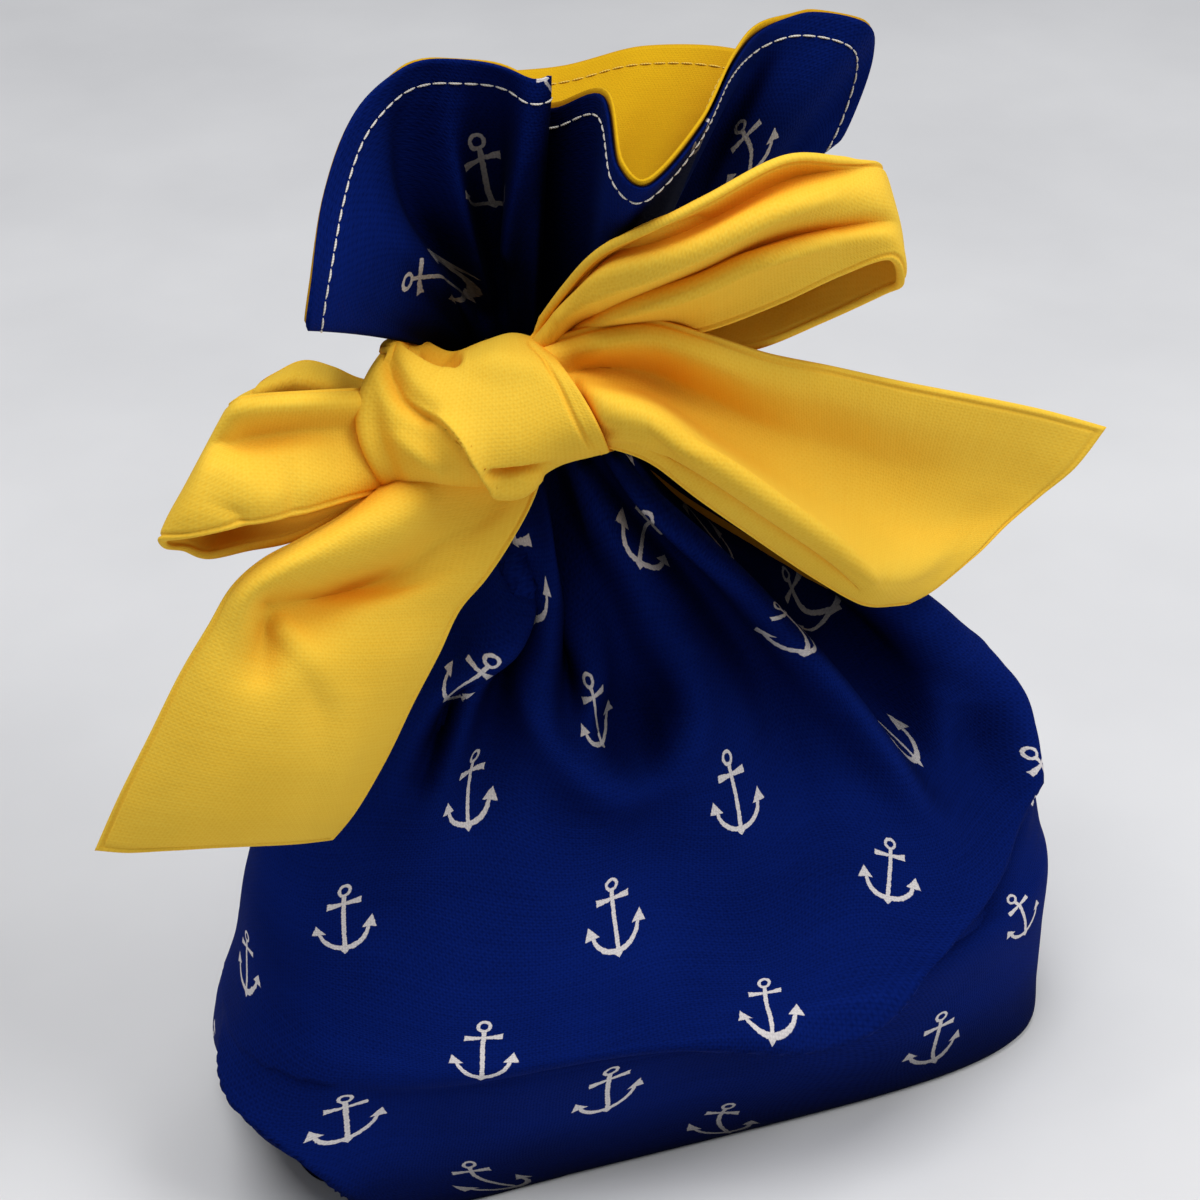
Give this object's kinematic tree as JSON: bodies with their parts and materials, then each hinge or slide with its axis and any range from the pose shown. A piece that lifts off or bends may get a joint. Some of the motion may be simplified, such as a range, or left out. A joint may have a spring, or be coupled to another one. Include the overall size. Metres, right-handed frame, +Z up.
{
  "type": "tied fabric gift pouch",
  "caption": "Lined cotton pouch with a broad base, gathered at the neck and closed by a wide yellow sash tied in a bow, under a flared ruffle.",
  "frame": {"origin": "middle of the flat base, on the surface the pouch stands on", "axes": "+Z up; the front with the knot faces -Y; +X is to the right seen from the front"},
  "size_m": [0.2002, 0.1016, 0.2291],
  "materials": {
    "navy_cotton": "matt plain weave with white anchor print",
    "yellow_lining": "matt plain weave",
    "yellow_sash": "matt plain weave",
    "thread": "spun sewing thread"
  },
  "bodies": {
    "root": {"outer_bag": "navy_cotton", "lining_bag": "yellow_lining", "rim_topstitch": "thread", "tie_sash": "yellow_sash"}
  },
  "joints": []
}
